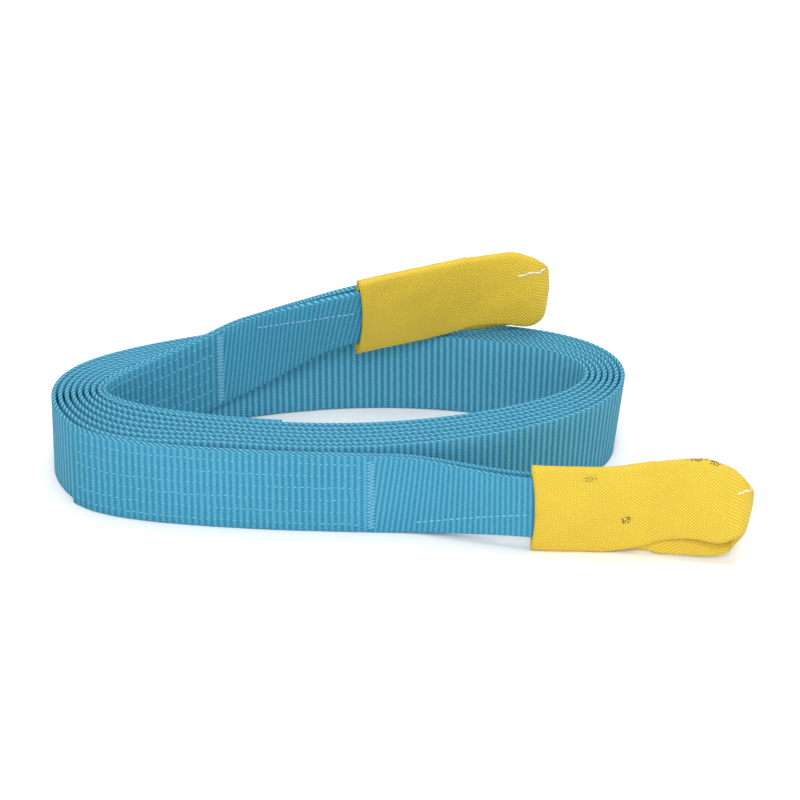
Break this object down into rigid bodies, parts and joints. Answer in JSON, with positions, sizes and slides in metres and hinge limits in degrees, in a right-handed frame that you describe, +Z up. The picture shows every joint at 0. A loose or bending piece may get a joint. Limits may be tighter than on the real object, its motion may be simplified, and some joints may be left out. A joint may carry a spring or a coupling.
{
  "type": "flat web sling",
  "caption": "Blue polyester flat web sling wound on edge into an oval coil, with a sewn splice and a yellow sleeved eye at each end.",
  "frame": {"origin": "under the middle of the whole object's bounding box, on the surface it stands on", "axes": "+X along the coil's long way, towards the front eye's crown; +Z up, across the webbing's width; -Y towards the side where the front splice and front eye lie"},
  "size_m": [0.476, 0.2328, 0.1321],
  "materials": {
    "webbing": "matte",
    "sleeve_weave": "matte",
    "sewing_thread": "matte"
  },
  "bodies": {
    "coil": {"webbing_turn_1": "webbing", "webbing_turn_2": "webbing", "webbing_turn_3": "webbing", "webbing_turn_4": "webbing", "webbing_turn_5": "webbing", "webbing_turn_6": "webbing", "webbing_turn_7": "webbing", "rear_tail_end": "webbing", "rear_tail_stitching": "sewing_thread"},
    "front_splice": {"front_splice_web": "webbing", "front_splice_tail": "webbing", "front_splice_stitching": "sewing_thread", "front_bar_tack": "sewing_thread"},
    "front_eye": {"front_eye_web": "webbing", "front_eye_sleeve": "sleeve_weave", "front_fold_seam": "sewing_thread", "front_sleeve_tack": "sewing_thread"},
    "rear_splice": {"rear_splice_web": "webbing", "rear_splice_tail": "webbing", "rear_splice_stitching": "sewing_thread", "rear_bar_tack": "sewing_thread"},
    "rear_eye": {"rear_eye_web": "webbing", "rear_eye_sleeve": "sleeve_weave", "rear_fold_seam": "sewing_thread", "rear_sleeve_tack": "sewing_thread"}
  },
  "joints": [
    {"name": "front_splice_bend", "type": "hinge", "parent": "coil", "child": "front_splice", "pos_m": [-0.22034, -0.03444, 0.03], "axis": [0, 0, -1], "range_deg": [0, 40]},
    {"name": "front_eye_bend", "type": "hinge", "parent": "front_splice", "child": "front_eye", "pos_m": [-0.0101, -0.07596, 0.03], "axis": [0, 0, -1], "range_deg": [0, 70]},
    {"name": "rear_splice_bend", "type": "hinge", "parent": "coil", "child": "rear_splice", "pos_m": [-0.20535, 0.01497, 0.03], "axis": [0, 0, -1], "range_deg": [0, 12]},
    {"name": "rear_eye_bend", "type": "hinge", "parent": "rear_splice", "child": "rear_eye", "pos_m": [-0.11792, 0.06855, 0.05], "axis": [0, 0, -1], "range_deg": [0, 25]}
  ]
}
